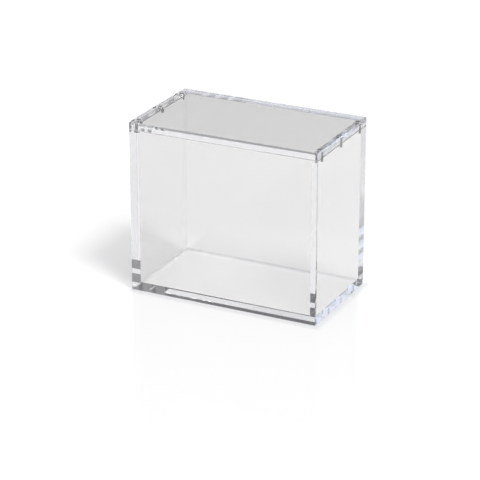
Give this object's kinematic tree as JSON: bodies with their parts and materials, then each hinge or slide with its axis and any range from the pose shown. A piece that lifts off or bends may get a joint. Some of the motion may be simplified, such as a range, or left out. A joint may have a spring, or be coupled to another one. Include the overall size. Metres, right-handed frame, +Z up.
{
  "type": "acrylic box",
  "caption": "Clear acrylic display box, longer than it is deep, with a loose flat lid that small disc magnets hold on the rims of the end walls.",
  "frame": {"origin": "centre of the underside, on the surface the box stands on", "axes": "+X along the long side, towards the right end wall; +Y from the front wall to the back wall; +Z up, the way the lid lifts"},
  "size_m": [0.158, 0.091, 0.139],
  "materials": {
    "clear_acrylic": "polished",
    "nickel_plate": "polished"
  },
  "bodies": {
    "case": {"floor_sheet": "clear_acrylic", "front_wall": "clear_acrylic", "back_wall": "clear_acrylic", "left_wall": "clear_acrylic", "right_wall": "clear_acrylic", "rim_magnet_left_front": "nickel_plate", "rim_magnet_left_middle": "nickel_plate", "rim_magnet_left_back": "nickel_plate", "rim_magnet_right_front": "nickel_plate", "rim_magnet_right_middle": "nickel_plate", "rim_magnet_right_back": "nickel_plate"},
    "lid": {"lid_sheet": "clear_acrylic", "lid_magnet_left_front": "nickel_plate", "lid_magnet_left_middle": "nickel_plate", "lid_magnet_left_back": "nickel_plate", "lid_magnet_right_front": "nickel_plate", "lid_magnet_right_middle": "nickel_plate", "lid_magnet_right_back": "nickel_plate"}
  },
  "joints": [
    {"name": "lid_lift", "type": "slide", "parent": "case", "child": "lid", "axis": [0, 0, 1], "range_m": [0, 0.15]}
  ]
}
